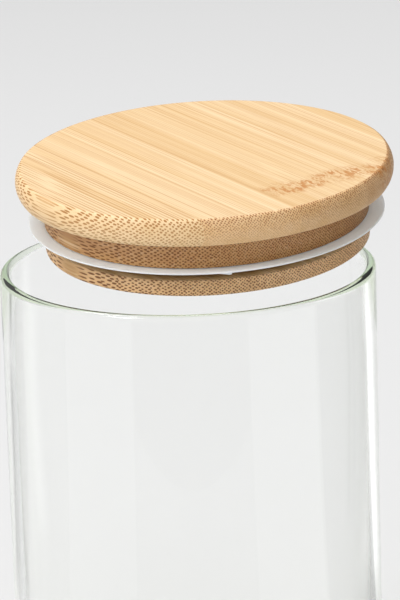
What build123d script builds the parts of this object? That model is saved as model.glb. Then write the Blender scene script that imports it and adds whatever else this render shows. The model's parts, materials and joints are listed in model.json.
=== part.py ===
from build123d import *
import os
from math import radians, sqrt, tan

# Food canister: a round glass jar with a push-in lid. The lid is turned from a blank of
# laminated bamboo, three layers of glued strips with their grain all one way. A wide cap
# rests on the jar's rim, and a plug below it carries a silicone ring in a groove, whose
# thin lip seals against the bore.
#
# The jar stands on the XY plane and is centred on the Z axis. The lid rests where a hand
# holds it as it comes off: above the mouth, tipped towards -Y and a little to one side.
# Lengths are in millimetres and angles in degrees.

# ---------------------------------------------------------------- glass jar
JAR_RADIUS = 50.0
JAR_HEIGHT = 150.0
JAR_WALL = 2.9
JAR_FLOOR = 3.6
JAR_HEEL_ROUND = 6.5         # outside, between the base and the wall
JAR_CORNER_ROUND = 4.0       # inside, between the floor and the wall

# ---------------------------------------------------------------- lid: the cap
CAP_OVERHANG = 0.0           # past the jar's outside: the cap is just as wide as the jar
CAP_THICKNESS = 7.2
CAP_EDGE_ROUND = 5.6         # radius of the rounded edge
CAP_EDGE_CROWN = 3.5         # height of the edge's widest line above the cap's underside
CAP_TOP_EASE = 1.0           # small round where the edge meets the flat top
CAP_BASE_EASE = 0.5          # and where it meets the underside
CAP_SEAT_GAP = 0.15          # between the cap's underside and the rim of the closed jar

# ---------------------------------------------------------------- lid: the plug
PLUG_CLEARANCE = 4.0         # all round, between the plug and the bore
GROOVE_TOP = 8.0             # below the cap's underside
GROOVE_HEIGHT = 3.35
PLUG_FOOT = 4.35             # height of the plug's wall below the groove
PLUG_EASE = 0.8              # round of the plug's lowest edge
GROOVE_DEPTH = 4.6
GROOVE_BEVEL = 0.3           # bevel of the groove's lower edge

# ---------------------------------------------------------------- lid: bamboo boards
BOARD_STRIPS = 5             # strips glued side by side in one board
BOARD_SPARE = 19.0           # how much wider a board is than the lid cut from it
GRAIN_ANGLE = -55.8          # direction of the grain on the closed lid, from +X
CAP_SEAM = -0.172            # a glue seam's distance from the lid's axis, in strip widths
UPPER_PLUG_SEAM = 0.042
LOWER_PLUG_SEAM = 0.345

# ---------------------------------------------------------------- silicone ring
SEAL_SQUEEZE = 0.15          # how far the lip stands past the bore it seals
SEAL_FIT = 0.1               # between the ring and the groove it sits in
BAND_WIDTH = 2.6             # the ring's thick inner band, across and in height
BAND_HEIGHT = 2.2
BAND_EASE = 0.4
LIP_ROOT = 0.8               # thickness of the lip where it leaves the band
LIP_TIP = 0.5                # and at its edge
LIP_RISE = 0.35              # how far the lip's edge turns up
GATE_ANGLE = -84.0           # place round the ring of the trimmed moulding gate, from +X
GATE_LENGTH = 3.2
GATE_DROP = 0.55
GATE_DEPTH = 0.7

# ---------------------------------------------------------------- the lid in the hand
LIFT_UP = 21.8               # from the closed lid to the lid at rest
LIFT_RIGHT = 5.2
LIFT_BACK = 1.0
TIP_FORWARD = 5.21           # turn about +X: the front edge goes down
TIP_LEFT = -1.32             # turn about +Y: the right edge goes up

# ---------------------------------------------------------------- worked-out values
bore_radius = JAR_RADIUS - JAR_WALL
cap_radius = JAR_RADIUS + CAP_OVERHANG
plug_radius = bore_radius - PLUG_CLEARANCE
groove_radius = plug_radius - GROOVE_DEPTH
plug_depth = GROOVE_TOP + GROOVE_HEIGHT + PLUG_FOOT
strip_width = (2 * cap_radius + BOARD_SPARE) / BOARD_STRIPS

# The lift from closed to rest is one swing about a far axis, as an arm's is. That axis is
# square to the lift, which needs a small spin of the lid besides its tip.
lift = Vector(LIFT_RIGHT, LIFT_BACK, LIFT_UP)
spin = -(TIP_FORWARD * LIFT_RIGHT + TIP_LEFT * LIFT_BACK) / LIFT_UP
swing = Vector(TIP_FORWARD, TIP_LEFT, spin)
swing_angle = swing.length
swing_line = swing.normalized()
closed_place = Vector(0, 0, JAR_HEIGHT + CAP_SEAT_GAP)
pivot = closed_place + lift / 2 + swing_line.cross(lift) / (2 * tan(radians(swing_angle / 2)))


def turned(*edges):
    """Solid turned about Z from a closed outline, drawn as X = radius and Y = height."""
    outline = make_face([Plane.XZ * edge for edge in edges])
    return revolve(outline, axis=Axis.Z)


def lines(*points):
    """Straight edges through the points."""
    return [Line(a, b) for a, b in zip(points, points[1:])]


def ring_edges(solid, radius, height):
    """The circular edges of a turned solid at a radius and height."""
    circles = solid.edges().filter_by(GeomType.CIRCLE)
    return [e for e in circles
            if abs(e.radius - radius) < 1e-3 and abs(e.arc_center.Z - height) < 1e-3]


def glass_jar():
    """Jar with a flat base, an even wall and a full-round, fire-polished rim."""
    heel = JAR_HEEL_ROUND
    corner = JAR_CORNER_ROUND
    rim_round = JAR_WALL / 2
    rim_height = JAR_HEIGHT - rim_round
    slant = sqrt(0.5)
    rim_top = (JAR_RADIUS - rim_round, JAR_HEIGHT)
    outer_rim_middle = (rim_top[0] + rim_round * slant, rim_height + rim_round * slant)
    inner_rim_middle = (rim_top[0] - rim_round * slant, rim_height + rim_round * slant)
    heel_middle = (JAR_RADIUS - heel * (1 - slant), heel * (1 - slant))
    corner_middle = (bore_radius - corner * (1 - slant), JAR_FLOOR + corner * (1 - slant))
    return turned(
        Line((0, 0), (JAR_RADIUS - heel, 0)),
        ThreePointArc((JAR_RADIUS - heel, 0), heel_middle, (JAR_RADIUS, heel)),
        Line((JAR_RADIUS, heel), (JAR_RADIUS, rim_height)),
        ThreePointArc((JAR_RADIUS, rim_height), outer_rim_middle, rim_top),
        ThreePointArc(rim_top, inner_rim_middle, (bore_radius, rim_height)),
        Line((bore_radius, rim_height), (bore_radius, JAR_FLOOR + corner)),
        ThreePointArc((bore_radius, JAR_FLOOR + corner), corner_middle,
                      (bore_radius - corner, JAR_FLOOR)),
        Line((bore_radius - corner, JAR_FLOOR), (0, JAR_FLOOR)),
        Line((0, JAR_FLOOR), (0, 0)),
    )


def cap_layer():
    """The cap's layer: a disc with one rounded edge, eased where it meets each face."""
    centre = cap_radius - CAP_EDGE_ROUND
    above = CAP_THICKNESS - CAP_EDGE_CROWN
    top_radius = centre + sqrt(CAP_EDGE_ROUND**2 - above**2)
    base_radius = centre + sqrt(CAP_EDGE_ROUND**2 - CAP_EDGE_CROWN**2)
    disc = turned(
        Line((0, 0), (base_radius, 0)),
        ThreePointArc((base_radius, 0), (cap_radius, CAP_EDGE_CROWN),
                      (top_radius, CAP_THICKNESS)),
        Line((top_radius, CAP_THICKNESS), (0, CAP_THICKNESS)),
        Line((0, CAP_THICKNESS), (0, 0)),
    )
    disc = fillet(ring_edges(disc, top_radius, CAP_THICKNESS), CAP_TOP_EASE)
    return fillet(ring_edges(disc, base_radius, 0), CAP_BASE_EASE)


def upper_plug_layer():
    """The plug's layer from the cap down to the top of the seal's groove."""
    return turned(*lines((0, 0), (0, -GROOVE_TOP), (plug_radius, -GROOVE_TOP),
                         (plug_radius, 0), (0, 0)))


def lower_plug_layer():
    """The plug's lowest layer, with the seal's groove turned into its upper edge."""
    groove_base = -GROOVE_TOP - GROOVE_HEIGHT
    layer = turned(*lines(
        (0, -GROOVE_TOP), (0, -plug_depth), (plug_radius, -plug_depth),
        (plug_radius, groove_base - GROOVE_BEVEL), (plug_radius - GROOVE_BEVEL, groove_base),
        (groove_radius, groove_base), (groove_radius, -GROOVE_TOP), (0, -GROOVE_TOP),
    ))
    return fillet(ring_edges(layer, plug_radius, -plug_depth), PLUG_EASE)


def strips(layer, radius, seam, name):
    """The glued strips that a layer is made of, numbered across the grain.

    They are cut with the grain along X, then turned to its direction on the lid.
    """
    seams = [(seam + n) * strip_width for n in range(-BOARD_STRIPS, BOARD_STRIPS + 1)]
    pieces = {}
    for left in seams:
        if left < radius and left + strip_width > -radius:
            slab = Box(4 * radius, strip_width, 4 * plug_depth)
            slab = Pos(0, left + strip_width / 2, 0) * slab
            pieces[f"{name}_{len(pieces) + 1}"] = Rot(0, 0, GRAIN_ANGLE) * (layer & slab)
    return pieces


def seal_ring():
    """Silicone ring: a thick band in the groove, a thin lip, and its trimmed gate."""
    inner = groove_radius + SEAL_FIT
    outer = inner + BAND_WIDTH
    top = -GROOVE_TOP - SEAL_FIT
    base = top - BAND_HEIGHT
    lip_radius = bore_radius + SEAL_SQUEEZE
    tip_top = top + LIP_RISE
    tip_base = tip_top - LIP_TIP
    tip_start = lip_radius - LIP_TIP / 2
    ring = turned(
        *lines((tip_start, tip_top), (plug_radius, top), (inner, top), (inner, base),
               (outer, base), (outer, top - LIP_ROOT), (tip_start, tip_base)),
        ThreePointArc((tip_start, tip_base), (lip_radius, tip_top - LIP_TIP / 2),
                      (tip_start, tip_top)),
    )
    corners = ring_edges(ring, inner, base) + ring_edges(ring, outer, base)
    ring = fillet(corners, BAND_EASE)
    middle = tip_top - LIP_TIP / 2
    gate_outline = make_face([Plane.XZ * edge for edge in lines(
        (-GATE_LENGTH, middle), (0, middle), (0, tip_base - GATE_DROP), (-GATE_LENGTH, middle))])
    gate = extrude(gate_outline, amount=GATE_DEPTH, dir=(0, -1, 0))
    gate_place = Rot(0, 0, GATE_ANGLE + 90) * Pos(GATE_LENGTH / 2, GATE_DEPTH - tip_start, 0)
    return ring + gate_place * gate


def in_hand(solid):
    """Swing a piece drawn about the lid's own centre up to where the lid rests."""
    closed = Pos(*closed_place) * solid
    return closed.rotate(Axis(pivot, swing_line), swing_angle)


def build():
    """Every node of the canister by name, in its place at rest."""
    lid = strips(cap_layer(), cap_radius, CAP_SEAM, "cap_strip")
    lid |= strips(upper_plug_layer(), plug_radius, UPPER_PLUG_SEAM, "upper_plug_strip")
    lid |= strips(lower_plug_layer(), plug_radius, LOWER_PLUG_SEAM, "lower_plug_strip")
    lid["seal_ring"] = seal_ring()
    return {"glass_jar": glass_jar()} | {name: in_hand(piece) for name, piece in lid.items()}


os.makedirs("parts", exist_ok=True)
for node, piece in build().items():
    export_step(piece, f"parts/{node}.step")

rest_place = closed_place + lift
rest_spin = GRAIN_ANGLE + swing_angle * swing_line.Z
print("swing axis", tuple(round(v, 6) for v in swing_line))
print("swing pivot", tuple(round(v, 3) for v in pivot))
print("closed at", round(-swing_angle, 4), "degrees")
print("lid centre at rest", tuple(round(v, 3) for v in rest_place))
print("grain at rest about", round(rest_spin, 2), "degrees")
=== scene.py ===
"""Looks of a food canister: a blown glass jar with a push-in lid of laminated bamboo.

Sizes are in millimetres and angles in degrees, unless a name says otherwise. The lid's own
frame has its origin at the centre of the cap's underside, X along the grain, Y across it and
Z along the lid's axis.
"""

import json
import logging
import math
from dataclasses import dataclass, field
from enum import Enum
from typing import Any, Iterable, Sequence

import bmesh
import bpy
from mathutils import Matrix, Vector


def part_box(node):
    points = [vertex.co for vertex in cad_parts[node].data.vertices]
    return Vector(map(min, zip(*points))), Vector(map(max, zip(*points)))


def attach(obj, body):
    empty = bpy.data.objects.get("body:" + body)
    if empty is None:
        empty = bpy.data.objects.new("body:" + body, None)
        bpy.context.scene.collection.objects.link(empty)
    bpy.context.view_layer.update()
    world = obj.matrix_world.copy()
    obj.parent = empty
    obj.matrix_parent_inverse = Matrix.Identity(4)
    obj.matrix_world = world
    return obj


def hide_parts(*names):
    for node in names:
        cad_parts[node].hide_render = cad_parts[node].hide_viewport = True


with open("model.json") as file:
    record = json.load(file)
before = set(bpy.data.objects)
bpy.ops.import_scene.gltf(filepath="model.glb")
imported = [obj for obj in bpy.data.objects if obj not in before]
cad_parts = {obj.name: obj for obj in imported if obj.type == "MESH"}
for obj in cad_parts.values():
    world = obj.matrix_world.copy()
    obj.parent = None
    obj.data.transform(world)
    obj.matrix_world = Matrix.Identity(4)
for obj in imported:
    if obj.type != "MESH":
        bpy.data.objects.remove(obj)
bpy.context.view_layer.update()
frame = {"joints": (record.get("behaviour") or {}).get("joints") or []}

logging.basicConfig(level=logging.INFO, format="%(message)s")
log = logging.getLogger("canister")

MM = 0.001
Point = tuple[float, float]
Colour = tuple[float, float, float, float]


# ------------------------------------------------------------------ colour and nodes
def linear(hex_colour: str) -> Colour:
    """Turn an sRGB hex colour into the linear colour that shaders use.

    Args:
        hex_colour: Six hex digits, such as "e8c894".

    Returns:
        Linear red, green and blue, and an alpha of 1.
    """
    channels = [int(hex_colour[i:i + 2], 16) / 255 for i in (0, 2, 4)]
    red, green, blue = (c / 12.92 if c <= 0.04045 else ((c + 0.055) / 1.055) ** 2.4 for c in channels)
    return (red, green, blue, 1.0)


def add_node(tree: bpy.types.NodeTree, kind: str, inputs: dict[int | str, Any] | None = None,
             **settings: Any) -> bpy.types.Node:
    """Add one node, with its settings and the values or links of its inputs.

    Args:
        tree: The tree that the node goes into.
        kind: Blender's name for the type of node.
        inputs: A value, a socket or a node (for its first output) for each input that is set.
        **settings: The node's own properties, such as its operation.

    Returns:
        The node.
    """
    node = tree.nodes.new(kind)
    for name, value in settings.items():
        setattr(node, name, value)
    for key, value in (inputs or {}).items():
        source = value.outputs[0] if isinstance(value, bpy.types.Node) else value
        if isinstance(source, bpy.types.NodeSocket):
            tree.links.new(source, node.inputs[key])
        else:
            node.inputs[key].default_value = source
    return node


def new_material(name: str) -> tuple[bpy.types.Material, bpy.types.NodeTree, bpy.types.Node]:
    """Make an empty node material.

    Args:
        name: The material's name.

    Returns:
        The material, its node tree and its output node.
    """
    material = bpy.data.materials.new(name)
    material.use_nodes = True
    material.node_tree.nodes.clear()
    return material, material.node_tree, add_node(material.node_tree, "ShaderNodeOutputMaterial")


# ------------------------------------------------------------------ meshes
def arc(centre: Point, radius: float, start: float, end: float, steps: int) -> list[Point]:
    """Points along an arc of an outline.

    Args:
        centre: The arc's centre, as radius and height.
        radius: The arc's own radius.
        start: Angle of the first point, from the outward direction towards up.
        end: Angle of the last point.
        steps: How many equal steps lie between them.

    Returns:
        The points, first and last included.
    """
    angles = [math.radians(start + (end - start) * i / steps) for i in range(steps + 1)]
    return [(centre[0] + radius * math.cos(a), centre[1] + radius * math.sin(a)) for a in angles]


def turned(outline: Sequence[Point], segments: int) -> bmesh.types.BMesh:
    """Turn a closed outline about Z into a closed mesh, as on a lathe.

    Args:
        outline: Points as radius and height, counter-clockwise seen with the axis on the left.
        segments: How many faces go round.

    Returns:
        The mesh, in metres.
    """
    mesh = bmesh.new()
    turns = [2 * math.pi * i / segments for i in range(segments)]
    rings = []
    for radius, height in outline:
        if radius < 1e-6:
            rings.append([mesh.verts.new((0, 0, height * MM))] * segments)
        else:
            rings.append([mesh.verts.new((radius * MM * math.cos(t), radius * MM * math.sin(t),
                                          height * MM)) for t in turns])
    for low, high in zip(rings, rings[1:] + rings[:1]):
        for i in range(segments):
            j = (i + 1) % segments
            corners = list(dict.fromkeys((low[i], low[j], high[j], high[i])))
            if len(corners) > 2:
                mesh.faces.new(corners)
    bmesh.ops.recalc_face_normals(mesh, faces=mesh.faces)
    return mesh


def cut_strip(layer: bmesh.types.BMesh, low: float, high: float) -> bmesh.types.BMesh:
    """Cut the strip between two seams out of a layer, across the grain.

    Args:
        layer: The whole turned layer, which is left as it is.
        low: Place of one seam across the grain.
        high: Place of the other seam.

    Returns:
        The strip's own closed mesh.
    """
    strip = layer.copy()
    for place, outward in ((low, -1), (high, 1)):
        everything = strip.verts[:] + strip.edges[:] + strip.faces[:]
        bmesh.ops.bisect_plane(strip, geom=everything, plane_co=(0, place * MM, 0),
                               plane_no=(0, outward, 0), clear_outer=True)
        rim = [edge for edge in strip.edges if edge.is_boundary]
        if rim:
            bmesh.ops.holes_fill(strip, edges=rim, sides=0)
    bmesh.ops.triangulate(strip, faces=[face for face in strip.faces if len(face.verts) > 4])
    return strip


def add_piece(name: str, mesh: bmesh.types.BMesh, place: Matrix, material: bpy.types.Material,
              crease: float = 35.0) -> bpy.types.Object:
    """Put a finished mesh into the scene as one piece.

    Args:
        name: The piece's name.
        mesh: Its mesh, which is freed.
        place: Where it goes in the row's frame.
        material: Its finish.
        crease: Edges sharper than this stay sharp.

    Returns:
        The new object.
    """
    data = bpy.data.meshes.new(name)
    mesh.to_mesh(data)
    mesh.free()
    data.shade_smooth()
    data.set_sharp_from_angle(angle=math.radians(crease))
    data.materials.append(material)
    piece = bpy.data.objects.new(name, data)
    piece.matrix_world = place
    bpy.context.scene.collection.objects.link(piece)
    log.info("%s: %d faces, %s", name, len(data.polygons), material.name)
    return piece


# ------------------------------------------------------------------ finishes
@dataclass(frozen=True)
class BorosilicateGlass:
    """Blown borosilicate glass: clear, thin and hard, and faintly green where light runs along it.

    Light that is caught in the wall is followed through a few turns only. After those the ray
    goes straight on, with the pale tint of light that a real wall guides along itself.
    """

    ior: float = 1.473
    roughness: float = 0.0
    tint: str = "bcf5aa"
    tint_density: float = 2.0
    guided: str = "f6f9f2"
    turns_followed: float = 4.5

    def material(self) -> bpy.types.Material:
        """Build the glass, which lets lamps through so that what stands in it is lit."""
        material, tree, output = new_material("blown_borosilicate_glass")
        glass = add_node(tree, "ShaderNodeBsdfPrincipled", {
            "Base Color": (1, 1, 1, 1), "Roughness": self.roughness, "IOR": self.ior,
            "Transmission Weight": 1.0})
        clear = add_node(tree, "ShaderNodeBsdfTransparent", {"Color": linear(self.guided)})
        rays = add_node(tree, "ShaderNodeLightPath")
        deep = add_node(tree, "ShaderNodeMath", {
            0: rays.outputs["Ray Depth"], 1: self.turns_followed}, operation="GREATER_THAN")
        straight = add_node(tree, "ShaderNodeMath", {0: rays.outputs["Is Shadow Ray"], 1: deep},
                            operation="MAXIMUM")
        mixed = add_node(tree, "ShaderNodeMixShader", {0: straight, 1: glass, 2: clear})
        tree.links.new(mixed.outputs[0], output.inputs["Surface"])
        absorb = add_node(tree, "ShaderNodeVolumeAbsorption", {
            "Color": linear(self.tint), "Density": self.tint_density})
        tree.links.new(absorb.outputs[0], output.inputs["Volume"])
        return material


@dataclass(frozen=True)
class MouldedSilicone:
    """Food-grade silicone rubber, moulded: milky white, a little see-through, with a soft sheen.

    The mould leaves a grit that is finer than it is drawn here, so that it shows at all.
    """

    colour: str = "e6f0ff"
    shade: str = "dbe7fa"
    ior: float = 1.41
    roughness: float = 0.42
    grit_pitch: float = 0.6
    grit_depth: float = 0.02
    grit_strength: float = 0.12
    scatter: float = 0.9
    scatter_depth: float = 2.5

    def material(self) -> bpy.types.Material:
        """Build the silicone, with the fine unevenness of its mould."""
        material, tree, output = new_material("moulded_silicone")
        place = add_node(tree, "ShaderNodeTexCoord").outputs["Object"]
        grit = add_node(tree, "ShaderNodeTexNoise", {
            "Vector": place, "Scale": 1 / (self.grit_pitch * MM), "Detail": 2.0})
        bump = add_node(tree, "ShaderNodeBump", {
            "Strength": self.grit_strength, "Distance": self.grit_depth * MM, "Height": grit})
        tone = add_node(tree, "ShaderNodeMix", {
            "Factor": grit, 6: linear(self.colour), 7: linear(self.shade)}, data_type="RGBA")
        silicone = add_node(tree, "ShaderNodeBsdfPrincipled", {
            "Base Color": tone.outputs[2], "Roughness": self.roughness, "IOR": self.ior,
            "Subsurface Weight": self.scatter, "Subsurface Scale": self.scatter_depth * MM,
            "Subsurface Radius": (1.0, 1.0, 1.0), "Normal": bump})
        tree.links.new(silicone.outputs[0], output.inputs["Surface"])
        return material


class Skin(Enum):
    """Which face of a strip lay towards the skin of the culm, where bundles are small and dense."""

    UP = 1
    DOWN = -1


@dataclass(frozen=True)
class BambooStrip:
    """Sanded bamboo under a thin satin lacquer, as one glued strip of it.

    Fibre bundles run along the grain, half a millimetre to a millimetre apart. They show as
    fine lines on a face along the grain and as dark dots where the grain ends, smaller and
    denser towards the skin of the culm. The lacquer gives a low, even gloss, and open pores
    in the end grain break it.
    """

    seed: float
    bundle_pitch: float = 1.0
    bundle_radius: float = 0.25
    stray: float = 0.38
    fade: float = 0.3
    light: str = "f0d2a6"
    dark: str = "e4c08c"
    line: str = "bf8846"
    end_ground: str = "e6b880"
    end_dot: str = "8c480a"
    dot_strength: float = 0.9
    line_strength: float = 0.22
    skin: Skin = Skin.UP
    node_at: float | None = None
    pale: str = "f7e0b8"
    fleck: str = "c07c34"
    ground_share: float = 0.55
    end_starts: float = 0.02
    end_full: float = 0.16
    lacquer_ior: float = 1.5
    satin: float = 0.44
    open_grain: float = 0.75
    pore_depth: float = 0.06

    def material(self, name: str, low: float, high: float) -> bpy.types.Material:
        """Build the strip's finish.

        Args:
            name: The strip's name.
            low: Height of the strip's lower face in the lid's frame.
            high: Height of its upper face.

        Returns:
            The material.
        """
        material, tree, output = new_material(f"lacquered_bamboo_{name}")
        texture = add_node(tree, "ShaderNodeTexCoord")
        place = add_node(tree, "ShaderNodeVectorMath",
                         {0: texture.outputs["Object"], "Scale": 1 / MM}, operation="SCALE")
        own = add_node(tree, "ShaderNodeVectorMath",
                       {0: place, 1: (self.seed * 131, self.seed * 17, self.seed * 29)}, operation="ADD")

        near_node, fleck = self.culm_node(tree, place, own)
        fibre = self.bundle_place(tree, own, near_node)
        dot = self.bundles(tree, fibre)
        side = self.side_grain(tree, own, fibre, dot, near_node)

        # The dots fade from one face of the strip to the other: partly the bundles, dense and dark
        # near the skin, and partly painted light, which pales the dots low on the cap's rounded edge.
        height = add_node(tree, "ShaderNodeSeparateXYZ", {0: place}).outputs[2]
        near, far = (high, low) if self.skin is Skin.UP else (low, high)
        depth = add_node(tree, "ShaderNodeMapRange", {
            0: height, 1: far, 2: near, 3: self.fade * self.dot_strength, 4: self.dot_strength})
        dot_depth = add_node(tree, "ShaderNodeMath", {0: dot, 1: depth}, operation="MULTIPLY")
        end_tone = add_node(tree, "ShaderNodeMix", {
            "Factor": self.ground_share, 6: side.outputs[2], 7: linear(self.end_ground)},
            data_type="RGBA")
        end = add_node(tree, "ShaderNodeMix", {
            "Factor": dot_depth, 6: end_tone.outputs[2], 7: linear(self.end_dot)}, data_type="RGBA")

        # A face cuts the grain's end as soon as it turns a little from the grain.
        along = add_node(tree, "ShaderNodeSeparateXYZ", {0: texture.outputs["Normal"]})
        facing = add_node(tree, "ShaderNodeMath", {0: along}, operation="ABSOLUTE")
        end_share = add_node(tree, "ShaderNodeMapRange", {
            0: facing, 1: self.end_starts, 2: self.end_full}, interpolation_type="SMOOTHSTEP")
        wood = add_node(tree, "ShaderNodeMix", {
            "Factor": end_share, 6: side.outputs[2], 7: end.outputs[2]}, data_type="RGBA")
        wood = add_node(tree, "ShaderNodeMix", {
            "Factor": fleck, 6: wood.outputs[2], 7: linear(self.fleck)}, data_type="RGBA")

        open_pore = add_node(tree, "ShaderNodeMath", {0: dot_depth, 1: end_share}, operation="MULTIPLY")
        rough = add_node(tree, "ShaderNodeMapRange", {
            0: open_pore, 3: self.satin, 4: self.open_grain})
        bump = add_node(tree, "ShaderNodeBump", {
            "Strength": 0.4, "Distance": self.pore_depth * MM, "Height": open_pore}, invert=True)
        surface = add_node(tree, "ShaderNodeBsdfPrincipled", {
            "Base Color": wood.outputs[2], "Roughness": rough, "IOR": self.lacquer_ior,
            "Normal": bump})
        tree.links.new(surface.outputs[0], output.inputs["Surface"])
        return material

    def culm_node(self, tree: bpy.types.NodeTree, place: bpy.types.Node,
                  own: bpy.types.Node) -> tuple[bpy.types.Node, bpy.types.Node]:
        """Find how near a point is to a joint of the culm, and the dark flecks there.

        Args:
            tree: The material's node tree.
            place: The point in the lid's frame.
            own: The same point with the strip's own offset.

        Returns:
            The nearness from 0 to 1, and the strength of the flecks.
        """
        along = add_node(tree, "ShaderNodeSeparateXYZ", {0: place})
        if self.node_at is None:
            nothing = add_node(tree, "ShaderNodeMath", {0: along, 1: 0.0}, operation="MULTIPLY")
            return nothing, nothing
        wave = add_node(tree, "ShaderNodeTexNoise", {"Vector": own, "Scale": 0.15, "Detail": 1.0})
        swing = add_node(tree, "ShaderNodeMapRange", {0: wave, 3: -5.0, 4: 5.0})
        bent = add_node(tree, "ShaderNodeMath", {0: along, 1: swing}, operation="ADD")
        off = add_node(tree, "ShaderNodeMath", {0: bent, 1: self.node_at}, operation="SUBTRACT")
        far = add_node(tree, "ShaderNodeMath", {0: off}, operation="ABSOLUTE")
        near = add_node(tree, "ShaderNodeMapRange", {0: far, 1: 6.0, 2: 1.5},
                        interpolation_type="SMOOTHSTEP")
        stretched = add_node(tree, "ShaderNodeVectorMath", {0: own, 1: (0.4, 1.1, 0.8)},
                             operation="MULTIPLY")
        marks = add_node(tree, "ShaderNodeTexNoise", {
            "Vector": stretched, "Scale": 1.0, "Detail": 2.0, "Roughness": 0.6, "Distortion": 0.6})
        sharp = add_node(tree, "ShaderNodeMapRange", {0: marks, 1: 0.47, 2: 0.6, 4: 0.85},
                         interpolation_type="SMOOTHSTEP")
        return near, add_node(tree, "ShaderNodeMath", {0: sharp, 1: near}, operation="MULTIPLY")

    def bundle_place(self, tree: bpy.types.NodeTree, own: bpy.types.Node,
                     near_node: bpy.types.Node) -> bpy.types.Node:
        """Shift a point across the grain, as bundles wander slowly and swirl near a culm node.

        Args:
            tree: The material's node tree.
            own: The point with the strip's own offset.
            near_node: How near it is to a joint of the culm.

        Returns:
            The shifted point.
        """
        shifted = own
        # A slow wander everywhere, and a swirl only near the node.
        for pace, reach, share in (((1 / 90, 1 / 20, 1 / 20), (0, 1.6, 2.2), None),
                                   ((0.3, 0.3, 0.3), (0, 4.5, 4.5), near_node)):
            slow = add_node(tree, "ShaderNodeVectorMath", {0: own, 1: pace}, operation="MULTIPLY")
            drift = add_node(tree, "ShaderNodeTexNoise", {
                "Vector": slow, "Scale": 1.0, "Detail": 1.0})
            drift = add_node(tree, "ShaderNodeVectorMath", {
                0: drift.outputs["Color"], 1: (0.5, 0.5, 0.5)}, operation="SUBTRACT")
            drift = add_node(tree, "ShaderNodeVectorMath", {0: drift, 1: reach}, operation="MULTIPLY")
            if share is not None:
                drift = add_node(tree, "ShaderNodeVectorMath", {0: drift, "Scale": share},
                                 operation="SCALE")
            shifted = add_node(tree, "ShaderNodeVectorMath", {0: shifted, 1: drift}, operation="ADD")
        return shifted

    def bundles(self, tree: bpy.types.NodeTree, fibre: bpy.types.Node) -> bpy.types.Node:
        """Draw the fibre bundles as rods along the grain, in rows that run aslant.

        Args:
            tree: The material's node tree.
            fibre: The point, shifted as the bundles wander.

        Returns:
            How far a point lies in a bundle, from 0 to 1.
        """
        slant = math.sqrt(0.5)
        one, other = (add_node(tree, "ShaderNodeVectorMath", {0: fibre, 1: way}, operation="DOT_PRODUCT")
                      for way in ((0, slant, slant), (0, -slant, slant)))
        section = add_node(tree, "ShaderNodeCombineXYZ", {
            0: one.outputs["Value"], 1: other.outputs["Value"]})
        cells = add_node(tree, "ShaderNodeTexVoronoi", {
            "Vector": section, "Scale": 1 / self.bundle_pitch, "Randomness": self.stray},
            voronoi_dimensions="2D")
        size = add_node(tree, "ShaderNodeSeparateColor", {0: cells.outputs["Color"]})
        radius = add_node(tree, "ShaderNodeMapRange", {
            0: size, 3: 0.75 * self.bundle_radius, 4: 1.2 * self.bundle_radius})
        edge = add_node(tree, "ShaderNodeMath", {0: radius, 1: 0.13}, operation="ADD")
        return add_node(tree, "ShaderNodeMapRange", {
            0: cells.outputs["Distance"], 1: edge, 2: radius}, interpolation_type="SMOOTHSTEP")

    def side_grain(self, tree: bpy.types.NodeTree, own: bpy.types.Node, fibre: bpy.types.Node,
                   dot: bpy.types.Node, near_node: bpy.types.Node) -> bpy.types.Node:
        """Colour a face along the grain: broad bands, fine fibres and the bundles' lines.

        Args:
            tree: The material's node tree.
            own: The point with the strip's own offset.
            fibre: The point, shifted as the bundles wander. It is not used.
            dot: How far the point lies in a bundle.
            near_node: How near it is to a joint of the culm.

        Returns:
            The colour mix.
        """
        def streaks(point: bpy.types.Node, length: float, width: float, low: float, high: float,
                    strength: float) -> bpy.types.Node:
            """Draw streaks along the grain.

            Args:
                point: The point to colour.
                length: How long the streaks are.
                width: How wide they are.
                low: Noise level where a streak starts to show.
                high: Noise level where it shows in full.
                strength: How strong it is there.

            Returns:
                The strength at the point.
            """
            at = add_node(tree, "ShaderNodeVectorMath", {
                0: point, 1: (1 / length, 1 / width, 1 / width)}, operation="MULTIPLY")
            noise = add_node(tree, "ShaderNodeTexNoise", {"Vector": at, "Scale": 1.0, "Detail": 1.5})
            return add_node(tree, "ShaderNodeMapRange", {0: noise, 1: low, 2: high, 4: strength},
                            interpolation_type="SMOOTHSTEP")

        broad = streaks(own, 260, 4.0, 0.3, 0.7, 1.0)
        ground = add_node(tree, "ShaderNodeMix", {
            "Factor": broad, 6: linear(self.light), 7: linear(self.dark)}, data_type="RGBA")
        pale = streaks(own, 220, 0.75, 0.5, 0.75, 0.45)
        ground = add_node(tree, "ShaderNodeMix", {
            "Factor": pale, 6: ground.outputs[2], 7: linear(self.pale)}, data_type="RGBA")
        fibres = streaks(own, 200, 0.3, 0.5, 0.68, 0.4)
        rods = add_node(tree, "ShaderNodeMath", {0: dot, 1: self.line_strength}, operation="MULTIPLY")
        marks = add_node(tree, "ShaderNodeMath", {0: rods, 1: fibres}, operation="ADD", use_clamp=True)
        at_node = add_node(tree, "ShaderNodeMath", {0: near_node, 1: 0.12}, operation="MULTIPLY")
        marks = add_node(tree, "ShaderNodeMath", {0: marks, 1: at_node}, operation="ADD", use_clamp=True)
        return add_node(tree, "ShaderNodeMix", {
            "Factor": marks, 6: ground.outputs[2], 7: linear(self.line)}, data_type="RGBA")


@dataclass(frozen=True)
class StudioPaper:
    """Matt white background paper, with no texture that shows."""

    colour: str = "dadada"

    def material(self) -> bpy.types.Material:
        """Build the paper."""
        material, tree, output = new_material("studio_paper")
        paper = add_node(tree, "ShaderNodeBsdfPrincipled", {
            "Base Color": linear(self.colour), "Roughness": 0.9, "Specular IOR Level": 0.2})
        tree.links.new(paper.outputs[0], output.inputs["Surface"])
        return material


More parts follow.
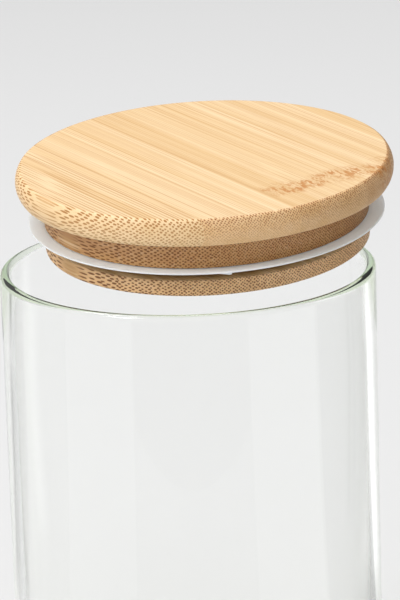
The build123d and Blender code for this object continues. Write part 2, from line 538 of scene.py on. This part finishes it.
# ------------------------------------------------------------------ the jar
@dataclass
class GlassJar:
    """The jar: a flat base, an even wall and a full-round, fire-polished rim."""

    wall: float = 2.9
    floor: float = 3.6
    heel_round: float = 6.5
    corner_round: float = 4.0
    wall_steps: int = 8
    segments: int = 384
    glass: BorosilicateGlass = field(default_factory=BorosilicateGlass)

    def outline(self) -> list[Point]:
        """Outline of the glass from the middle of the base, up the outside and down the inside."""
        low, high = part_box("glass_jar")
        radius, height = (high.x - low.x) / 2 / MM, high.z / MM
        bore, rim = radius - self.wall, self.wall / 2
        heel_place = (radius - self.heel_round, self.heel_round)
        corner_place = (bore - self.corner_round, self.floor + self.corner_round)
        return [
            (0, 0), (heel_place[0] - 1, 0),
            *arc(heel_place, self.heel_round, -90, 0, 24),
            *((radius, self.heel_round + (height - rim - self.heel_round) * i / self.wall_steps)
              for i in range(1, self.wall_steps)),
            *arc((radius - rim, height - rim), rim, 0, 180, 32),
            *((bore, height - rim - (height - rim - corner_place[1]) * i / self.wall_steps)
              for i in range(1, self.wall_steps)),
            *arc(corner_place, self.corner_round, 0, -90, 20),
            (corner_place[0] - 1, self.floor), (0, self.floor),
        ]

    def build(self) -> None:
        """Make the jar's glass in place of its CAD node."""
        mesh = turned(self.outline(), self.segments)
        piece = add_piece("jar_glass", mesh, Matrix.Identity(4), self.glass.material(), crease=60)
        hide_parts("glass_jar")
        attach(piece, "jar")


# ------------------------------------------------------------------ the lid
def lid_place(grain: float) -> Matrix:
    """Work out the lid's own frame at rest from the joints.

    Args:
        grain: Direction of the grain on the closed lid.

    Returns:
        The lid's frame in the row's frame.
    """
    joints = {joint["name"]: joint for joint in frame["joints"]}
    lift, turn = joints["lid_lift_off"], joints["lid_turn"]
    swing = Matrix.Rotation(math.radians(-lift["range_deg"][0]), 4, Vector(lift["axis"]))
    return Matrix.Translation(turn["pos_m"]) @ swing @ Matrix.Rotation(math.radians(grain), 4, "Z")


@dataclass
class LidLayer:
    """One board of the lid's blank, turned and cut into its glued strips.

    Its seam is the place of one glue joint across the grain, in strip widths from the axis.
    """

    name: str
    low: float
    high: float
    seam: float
    strips: Sequence[BambooStrip]
    outline: Sequence[Point]

    def build(self, place: Matrix, strip_width: float, segments: int) -> None:
        """Make each strip in place of its CAD node.

        Args:
            place: The lid's frame.
            strip_width: Distance from one seam to the next.
            segments: How many faces go round.
        """
        layer = turned(self.outline, segments)
        reach = max(radius for radius, _ in self.outline)
        first = math.floor(-reach / strip_width - self.seam)
        for number, finish in enumerate(self.strips):
            low = (self.seam + first + number) * strip_width
            name = f"{self.name}_{number + 1}"
            mesh = cut_strip(layer, low, low + strip_width)
            piece = add_piece(f"{name}_bamboo", mesh, place,
                              finish.material(name, self.low, self.high))
            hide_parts(name)
            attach(piece, "lid")
        layer.free()


@dataclass
class BambooLid:
    """The lid's wood: a wide cap over a plug, turned from three boards glued together."""

    cap_radius: float = 50.0
    cap_thickness: float = 7.2
    edge_round: float = 5.6
    edge_crown: float = 3.5
    top_ease: float = 1.0
    base_ease: float = 0.5
    plug_radius: float = 43.1
    groove_radius: float = 38.5
    groove_top: float = 8.0
    groove_height: float = 3.35
    groove_bevel: float = 0.3
    groove_ease: float = 0.2
    plug_foot: float = 4.35
    plug_ease: float = 0.8
    grain: float = -55.8
    strip_width: float = 23.8
    segments: int = 360

    # In the outlines, points close beside a round keep its soft shading off the flat next to it.
    def cap_outline(self) -> list[Point]:
        """Outline of the cap: flat faces and one rounded edge, eased where they meet."""
        centre = (self.cap_radius - self.edge_round, self.edge_crown)
        top_place, top_angle = self.ease(centre, self.cap_thickness, self.top_ease)
        base_place, base_angle = self.ease(centre, 0.0, self.base_ease)
        return [
            (0, 0), (base_place[0] - 2, 0), (base_place[0] - 0.4, 0),
            *arc(base_place, self.base_ease, -90, base_angle, 6),
            *arc(centre, self.edge_round, base_angle, top_angle, 30)[1:-1],
            *arc(top_place, self.top_ease, top_angle, 90, 8),
            (top_place[0] - 0.4, self.cap_thickness), (top_place[0] - 2, self.cap_thickness),
            (0, self.cap_thickness),
        ]

    def ease(self, centre: Point, face: float, ease: float) -> tuple[Point, float]:
        """Place the small round between the cap's edge and one of its flat faces.

        Args:
            centre: Centre of the edge's arc.
            face: Height of the flat face.
            ease: Radius of the small round.

        Returns:
            The small round's centre, and the angle at which the edge's arc runs into it.
        """
        upward = 1 if face > centre[1] else -1
        height = face - upward * ease
        rise = (height - centre[1]) / (self.edge_round - ease)
        angle = math.degrees(math.asin(rise))
        return (centre[0] + (self.edge_round - ease) * math.cos(math.radians(angle)), height), angle

    def upper_plug_outline(self) -> list[Point]:
        """Outline of the plug above the groove."""
        radius, ease, ledge = self.plug_radius, self.groove_ease, -self.groove_top
        return [
            (0, ledge), (radius - ease - 0.3, ledge),
            *arc((radius - ease, ledge + ease), ease, -90, 0, 4),
            (radius, ledge + ease + 0.4), (radius, 0), (0, 0),
        ]

    def lower_plug_outline(self) -> list[Point]:
        """Outline of the plug's lowest board, with the groove turned into its upper edge."""
        ledge = -self.groove_top - self.groove_height
        foot = ledge - self.plug_foot
        radius, ease, bevel = self.plug_radius, self.plug_ease, self.groove_bevel
        return [
            (0, foot), (radius - ease - 1, foot),
            *arc((radius - ease, foot + ease), ease, -90, 0, 10),
            (radius, foot + ease + 0.3), (radius, ledge - bevel - 0.2),
            *arc((radius - bevel, ledge - bevel), bevel, 0, 90, 5),
            (radius - bevel - 0.3, ledge), (self.groove_radius, ledge),
            (self.groove_radius, -self.groove_top), (0, -self.groove_top),
        ]

    def build(self) -> None:
        """Make the three layers of strips."""
        top, ledge = self.cap_thickness, -self.groove_top
        foot = ledge - self.groove_height - self.plug_foot
        # The cap's edge strips, then the more open grain of the two plug boards. The plug boards'
        # darker colours, darkest on the upper board, are partly the wood and partly painted shade
        # under the cap's overhang.
        fine = dict(bundle_pitch=0.55, fade=0.12)
        upper = dict(bundle_pitch=0.6, fade=0.85, end_ground="c9965c", end_dot="6a3406",
                     light="cba066", dark="b98650", line_strength=0.5)
        lower = dict(bundle_pitch=0.66, fade=0.9, end_ground="ecc08c", end_dot="6c3508",
                     light="e0b47c", dark="c0935c", line_strength=0.5)
        layers = (
            LidLayer("cap_strip", 0.0, top, -0.172, (
                # The end grain goes from pale on the first strip to dark on the last: partly the wood's
                # tone, partly painted light on the lit side and painted shade on the far side.
                BambooStrip(1.0, bundle_pitch=0.7, fade=0.55, end_ground="f0cd9a", end_dot="a2661c",
                            line_strength=0.55),
                BambooStrip(2.0, **fine),
                BambooStrip(3.0, node_at=35.5, end_ground="d8a970", **fine),
                BambooStrip(4.0, node_at=36.5, end_ground="c6935a", **fine),
                BambooStrip(5.0, end_ground="bd8950", **fine)), self.cap_outline()),
            LidLayer("upper_plug_strip", ledge, 0.0, 0.042, (
                BambooStrip(6.0, **{**upper, "bundle_pitch": 0.72}),
                BambooStrip(7.0, **upper),
                BambooStrip(8.0, **upper),
                BambooStrip(9.0, **upper)), self.upper_plug_outline()),
            LidLayer("lower_plug_strip", foot, ledge, 0.345, (
                BambooStrip(10.0, skin=Skin.DOWN, bundle_radius=0.27,
                            **{**lower, "bundle_pitch": 0.76}),
                BambooStrip(11.0, skin=Skin.DOWN, **lower),
                BambooStrip(12.0, **lower),
                BambooStrip(13.0, **lower),
                BambooStrip(14.0, **lower)), self.lower_plug_outline()),
        )
        place = lid_place(self.grain)
        for layer in layers:
            layer.build(place, self.strip_width, self.segments)


# ------------------------------------------------------------------ the seal
@dataclass
class SealRing:
    """The silicone ring: a thick band in the plug's groove and a thin lip that turns up a little.

    Under the lip's edge hangs the small wedge left where the moulding gate was trimmed.
    """

    inner: float = 38.6
    band_width: float = 2.6
    band_height: float = 2.2
    band_top: float = -8.1
    band_ease: float = 0.4
    lip_start: float = 43.1
    lip_radius: float = 47.25
    lip_root: float = 0.8
    lip_tip: float = 0.5
    lip_rise: float = 0.35
    gate_angle: float = -28.2
    gate_length: float = 3.2
    gate_drop: float = 0.55
    gate_depth: float = 0.7
    segments: int = 900
    silicone: MouldedSilicone = field(default_factory=MouldedSilicone)

    def outline(self) -> list[Point]:
        """Outline of the ring's section."""
        outer, base = self.inner + self.band_width, self.band_top - self.band_height
        ease, half_tip = self.band_ease, self.lip_tip / 2
        tip = (self.lip_radius - half_tip, self.band_top + self.lip_rise - half_tip)
        root = (outer, self.band_top - self.lip_root)
        share = (tip[0] - self.gate_depth - outer) / (tip[0] - outer)
        before_gate = (tip[0] - self.gate_depth, root[1] + share * (tip[1] - half_tip - root[1]))
        return [
            *arc((self.inner + ease, base + ease), ease, 180, 270, 5),
            *arc((outer - ease, base + ease), ease, -90, 0, 5),
            root, before_gate,
            *arc(tip, half_tip, -86, 86, 10),
            (self.lip_start, self.band_top), (self.inner, self.band_top),
        ]

    def add_gate(self, mesh: bmesh.types.BMesh) -> None:
        """Pull down the wedge that is left where the moulding gate was trimmed off.

        Args:
            mesh: The ring's mesh, in metres.
        """
        middle = self.band_top + self.lip_rise - self.lip_tip / 2
        edge = self.lip_radius - self.lip_tip / 2 - self.gate_depth / 2
        half = math.degrees(self.gate_length / 2 / self.lip_radius)
        for vertex in mesh.verts:
            reach = math.hypot(vertex.co.x, vertex.co.y) / MM
            turn = math.degrees(math.atan2(vertex.co.y, vertex.co.x)) - self.gate_angle
            if abs(turn) <= half and reach > edge and vertex.co.z / MM < middle:
                vertex.co.z -= self.gate_drop * MM * (turn + half) / (2 * half)

    def build(self, place: Matrix) -> None:
        """Make the ring in place of its CAD node.

        Args:
            place: The lid's frame, which the ring shares at rest.
        """
        mesh = turned(self.outline(), self.segments)
        self.add_gate(mesh)
        piece = add_piece("seal_silicone", mesh, place, self.silicone.material(), crease=40)
        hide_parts("seal_ring")
        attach(piece, "seal")


# ------------------------------------------------------------------ the studio
@dataclass
class ViewCamera:
    """The camera: a long lens that looks down at the mouth of the jar."""

    place: tuple[float, float, float] = (0.0, -896.56, 393.70)
    aim: tuple[float, float, float] = (2.953, 0.0, 140.087)
    roll: float = -1.765
    lens: float = 209.76
    sensor: float = 36.0

    def build(self) -> None:
        """Make the camera and give it to the scene."""
        data = bpy.data.cameras.new("view")
        data.lens, data.sensor_width, data.clip_end = self.lens, self.sensor, 20.0
        camera = bpy.data.objects.new("view", data)
        look = (Vector(self.aim) - Vector(self.place)).to_track_quat("-Z", "Y")
        roll = Matrix.Rotation(math.radians(self.roll), 4, "Z")
        camera.matrix_world = (Matrix.Translation(Vector(self.place) * MM)
                               @ look.to_matrix().to_4x4() @ roll)
        bpy.context.scene.collection.objects.link(camera)
        bpy.context.scene.camera = camera


@dataclass(frozen=True)
class Softbox:
    """A rectangular studio light that looks at the jar. Its place and size are in metres."""

    name: str
    place: tuple[float, float, float]
    size: tuple[float, float]
    power: float
    colour: str = "ffffff"


@dataclass(frozen=True)
class Card:
    """A light or dark card on the floor round the jar, which shows only by way of the glass.

    It spans a range of directions from the jar, 0 at the front and positive to the right, and
    a range of distances in metres. It is painted light and shade: a painted reflection in what
    the glass mirrors, painted light and shadow in what is seen through the glass, or both.
    """

    name: str
    from_angle: float
    to_angle: float
    near: float
    far: float
    glow: float
    mirrored: bool = True
    refracted: bool = False
    soft: bool = False

    def mask(self, tree: bpy.types.NodeTree) -> bpy.types.Node:
        """Fade the card out towards all its edges.

        Args:
            tree: The material's node tree.

        Returns:
            How much of the card is there, from 0 to 1.
        """
        place = add_node(tree, "ShaderNodeTexCoord").outputs["Object"]
        axes = add_node(tree, "ShaderNodeSeparateXYZ", {0: place})
        ahead = add_node(tree, "ShaderNodeMath", {0: axes.outputs[1], 1: -1.0},
                         operation="MULTIPLY")
        turn = add_node(tree, "ShaderNodeMath", {0: axes.outputs[0], 1: ahead},
                        operation="ARCTAN2")
        middle = math.radians((self.from_angle + self.to_angle) / 2)
        half = math.radians(abs(self.to_angle - self.from_angle) / 2)
        aside = add_node(tree, "ShaderNodeMath", {0: turn, 1: middle}, operation="SUBTRACT")
        aside = add_node(tree, "ShaderNodeMath", {0: aside}, operation="ABSOLUTE")
        across = add_node(tree, "ShaderNodeMapRange", {0: aside, 1: 0.0, 2: half, 3: 1.0, 4: 0.0},
                          interpolation_type="SMOOTHSTEP")
        reach = add_node(tree, "ShaderNodeVectorMath", {0: place}, operation="LENGTH")
        reach = reach.outputs["Value"]
        border = (self.far - self.near) / 3
        inner = add_node(tree, "ShaderNodeMapRange", {
            0: reach, 1: self.near, 2: self.near + border / 2}, interpolation_type="SMOOTHSTEP")
        outer = add_node(tree, "ShaderNodeMapRange", {
            0: reach, 1: self.far - border, 2: self.far, 3: 1.0, 4: 0.0},
            interpolation_type="SMOOTHSTEP")
        along = add_node(tree, "ShaderNodeMath", {0: inner, 1: outer}, operation="MULTIPLY")
        return add_node(tree, "ShaderNodeMath", {0: across, 1: along}, operation="MULTIPLY")

    def build(self, height: float) -> bpy.types.Object:
        """Make the card.

        Args:
            height: How far above the floor's own level it lies.

        Returns:
            The card.
        """
        mesh = bmesh.new()
        corners = ((self.near, self.from_angle), (self.far, self.from_angle),
                   (self.far, self.to_angle), (self.near, self.to_angle))
        mesh.faces.new([mesh.verts.new((reach * math.sin(math.radians(turn)),
                                        -reach * math.cos(math.radians(turn)), 0))
                        for reach, turn in corners])
        material, tree, output = new_material(f"card_{self.name}")
        # It glows on its upper side only, so that it leaves the floor under it as it is.
        face = add_node(tree, "ShaderNodeEmission", {
            "Color": linear("ffffff"), "Strength": self.glow})
        back = add_node(tree, "ShaderNodeBsdfTransparent")
        side = add_node(tree, "ShaderNodeNewGeometry").outputs["Backfacing"]
        whole = add_node(tree, "ShaderNodeMixShader", {0: side, 1: face, 2: back})
        if self.soft:
            whole = add_node(tree, "ShaderNodeMixShader", {0: self.mask(tree), 1: back, 2: whole})
        tree.links.new(whole.outputs[0], output.inputs["Surface"])
        card = add_piece(self.name, mesh, Matrix.Translation((0, 0, height)), material)
        card.visible_camera = card.visible_shadow = card.visible_diffuse = False
        card.visible_glossy, card.visible_transmission = self.mirrored, self.refracted
        return card


@dataclass
class Studio:
    """A plain pale floor and plain soft light, brightest on the window's side of the room."""

    aim: tuple[float, float, float] = (0.0, 0.0, 0.12)
    floor_size: float = 8.0
    floor_drop: float = 0.05
    window: tuple[float, float, float] = (-0.55, -0.4, 0.73)
    bright: float = 0.93
    dim: float = 0.1
    window_starts: float = -0.5
    window_full: float = 0.9
    card_step: float = 0.002
    # Painted light and shade in the glass: white cards glow as painted reflections and painted light,
    # and dark and grey ones paint dark reflections and soft painted shadow seen through it.
    cards: tuple[Card, ...] = (
        Card("white_right", 34, 78, 0.17, 0.75, 1.2),
        Card("white_left", -78, -34, 0.17, 0.75, 1.2),
        Card("black_right", 80, 132, 0.15, 1.2, 0.01),
        Card("grey_left", -136, -118, 0.15, 1.2, 0.5),
        Card("grey_front", -33, 33, 0.42, 1.0, 0.5),
        Card("dark_left_back", -150, -140, 0.16, 0.5, 0.35,
             mirrored=False, refracted=True, soft=True),
        Card("white_right_back", 131, 157, 0.15, 0.6, 1.35,
             mirrored=False, refracted=True, soft=True),
        Card("dark_behind_left", -173, -155, 0.06, 0.16, 0.02),
        Card("dark_behind_right", 155, 173, 0.06, 0.16, 0.02),
        Card("dark_round_left", -135, -60, 0.10, 0.15, 0.02),
        Card("dark_round_right", 60, 135, 0.10, 0.148, 0.02),
    )
    softboxes: tuple[Softbox, ...] = (
        Softbox("overhead", (-0.25, 0.6, 1.9), (2.0, 0.5), 16.6),
        Softbox("key", (-0.9, -0.8, 1.3), (0.5, 0.5), 8.5),
        Softbox("right_edge", (1.2, 0.5, 0.5), (0.25, 1.2), 0.6),
    )
    paper: StudioPaper = field(default_factory=StudioPaper)

    def build(self) -> None:
        """Make the floor, the softboxes and the even light of the room."""
        mesh = bmesh.new()
        bmesh.ops.create_grid(mesh, x_segments=1, y_segments=1, size=self.floor_size / 2)
        floor = add_piece("floor", mesh, Matrix.Translation((0, 0, -self.floor_drop * MM)),
                          self.paper.material())
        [card.build(self.card_step * MM * number)
                          for number, card in enumerate(self.cards)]
        for box in self.softboxes:
            data = bpy.data.lights.new(box.name, "AREA")
            data.shape, data.size, data.size_y = "RECTANGLE", *box.size
            data.energy, data.color = box.power, linear(box.colour)[:3]
            lamp = bpy.data.objects.new(box.name, data)
            look = (Vector(self.aim) - Vector(box.place)).to_track_quat("-Z", "Y")
            lamp.matrix_world = Matrix.Translation(box.place) @ look.to_matrix().to_4x4()
            bpy.context.scene.collection.objects.link(lamp)
        world = bpy.data.worlds.new("room")
        world.use_nodes = True
        tree = world.node_tree
        way = add_node(tree, "ShaderNodeTexCoord").outputs["Generated"]
        toward = add_node(tree, "ShaderNodeVectorMath", {0: way, 1: self.window},
                          operation="DOT_PRODUCT")
        share = add_node(tree, "ShaderNodeMapRange", {
            0: toward.outputs["Value"], 1: self.window_starts, 2: self.window_full,
            3: self.dim, 4: self.bright}, interpolation_type="SMOOTHSTEP")
        tree.links.new(share.outputs[0], tree.nodes["Background"].inputs["Strength"])
        tree.nodes["Background"].inputs["Color"].default_value = linear("ffffff")
        bpy.context.scene.world = world
        bpy.context.scene.view_settings.view_transform = "Standard"


def main() -> None:
    """Build the canister, its studio and its camera."""
    ViewCamera().build()
    Studio().build()
    GlassJar().build()
    lid = BambooLid()
    lid.build()
    SealRing().build(lid_place(lid.grain))


if __name__ == "__main__":
    main()
